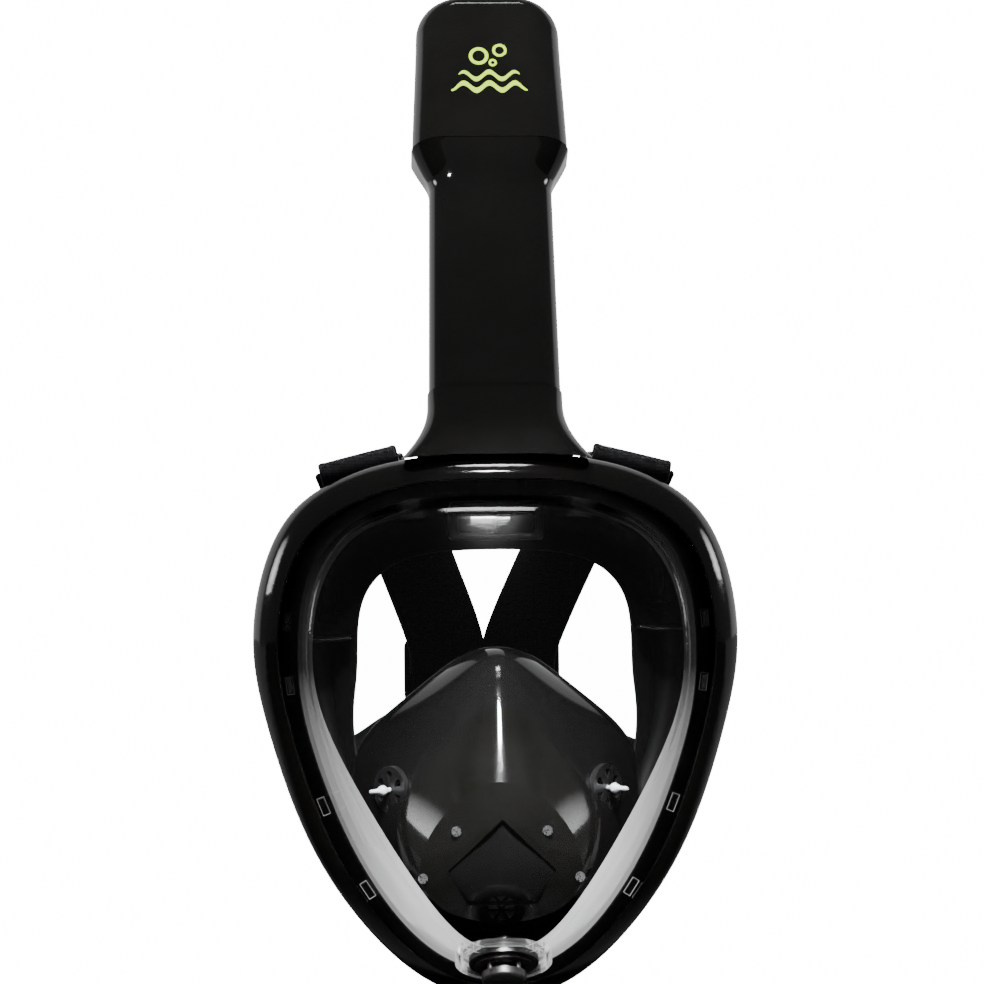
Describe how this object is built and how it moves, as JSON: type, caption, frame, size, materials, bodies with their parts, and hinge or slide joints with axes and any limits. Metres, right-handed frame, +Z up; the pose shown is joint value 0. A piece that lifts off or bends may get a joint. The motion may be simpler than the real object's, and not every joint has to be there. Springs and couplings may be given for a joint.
{
  "type": "full face snorkel mask",
  "caption": "Full face snorkel mask with clear visor, nose and mouth cup, chin purge valve, pull-off dry snorkel and elastic head straps.",
  "frame": {"origin": "centre of the face opening, on the plane where the lens flange meets the frame", "axes": "+Z up towards the snorkel's top, +Y back towards the wearer, +X to the right seen from the front"},
  "size_m": [0.1944, 0.1446, 0.4053],
  "materials": {
    "gloss_black": "glossy",
    "inner_black": "satin",
    "clear_lens": "clear",
    "black_silicone": "matte",
    "valve_silicone": "translucent",
    "seal_rubber": "matte",
    "float_foam": "matte",
    "webbing": "woven",
    "steel": "brushed",
    "print_lime": "printed"
  },
  "bodies": {
    "mask": {"front_bezel": "gloss_black", "rear_frame": "inner_black", "visor_lens": "clear_lens", "face_skirt": "black_silicone", "orinasal_cup": "black_silicone", "mouth_plate": "gloss_black", "mouth_plate_screws": "steel", "cup_valve_seat_left": "inner_black", "cup_valve_seat_right": "inner_black", "purge_valve_body": "inner_black", "purge_valve_cover": "inner_black", "forehead_duct": "black_silicone", "snorkel_socket": "gloss_black", "socket_gasket": "seal_rubber", "release_pin": "steel", "strap_clip_upper_left": "inner_black", "strap_clip_upper_right": "inner_black", "strap_clip_lower_left": "inner_black", "strap_clip_lower_right": "inner_black", "strap_upper_left": "webbing", "strap_upper_right": "webbing", "strap_lower_left": "webbing", "strap_lower_right": "webbing", "strap_yoke": "webbing"},
    "snorkel": {"snorkel_tube": "gloss_black", "spigot_seal": "seal_rubber", "dry_top_deck": "inner_black", "float_cage": "inner_black", "dry_top_cap": "gloss_black"},
    "float": {"float_body": "float_foam", "float_seal": "seal_rubber"},
    "release_lever": {"release_lever": "inner_black"},
    "cup_flap_left": {"cup_valve_flap_left": "valve_silicone"},
    "cup_flap_right": {"cup_valve_flap_right": "valve_silicone"},
    "purge_flap": {"purge_valve_flap": "valve_silicone"},
    "exhale_flap_left": {"exhale_flap_left": "valve_silicone"},
    "exhale_flap_right": {"exhale_flap_right": "valve_silicone"}
  },
  "joints": [
    {"name": "snorkel_pull", "type": "slide", "parent": "mask", "child": "snorkel", "axis": [0, 0.342, 0.9397], "range_m": [0, 0.045]},
    {"name": "float_rise", "type": "slide", "parent": "snorkel", "child": "float", "axis": [0, 0.342, 0.9397], "range_m": [0, 0.0086]},
    {"name": "release_press", "type": "hinge", "parent": "mask", "child": "release_lever", "pos_m": [0, 0.03252, 0.07612], "axis": [-1, 0, 0], "range_deg": [0, 10], "stiffness_Nm_per_rad": 0.05},
    {"name": "cup_flap_lift_right", "type": "slide", "parent": "mask", "child": "cup_flap_right", "axis": [-0.76, 0.65, 0], "range_m": [0, 0.0012], "stiffness_N_per_m": 50},
    {"name": "cup_flap_lift_left", "type": "slide", "parent": "mask", "child": "cup_flap_left", "axis": [0.76, 0.65, 0], "range_m": [0, 0.0012], "stiffness_N_per_m": 50},
    {"name": "purge_flap_lift", "type": "slide", "parent": "mask", "child": "purge_flap", "axis": [0, -0.5, -0.866], "range_m": [0, 0.0015], "stiffness_N_per_m": 50},
    {"name": "exhale_flap_swing_right", "type": "hinge", "parent": "snorkel", "child": "exhale_flap_right", "pos_m": [0.0135, 0.05468, 0.18815], "axis": [0, -0.9397, 0.342], "range_deg": [0, 40], "stiffness_Nm_per_rad": 0.0005},
    {"name": "exhale_flap_swing_left", "type": "hinge", "parent": "snorkel", "child": "exhale_flap_left", "pos_m": [-0.0135, 0.05468, 0.18815], "axis": [0, 0.9397, -0.342], "range_deg": [0, 40], "stiffness_Nm_per_rad": 0.0005}
  ]
}
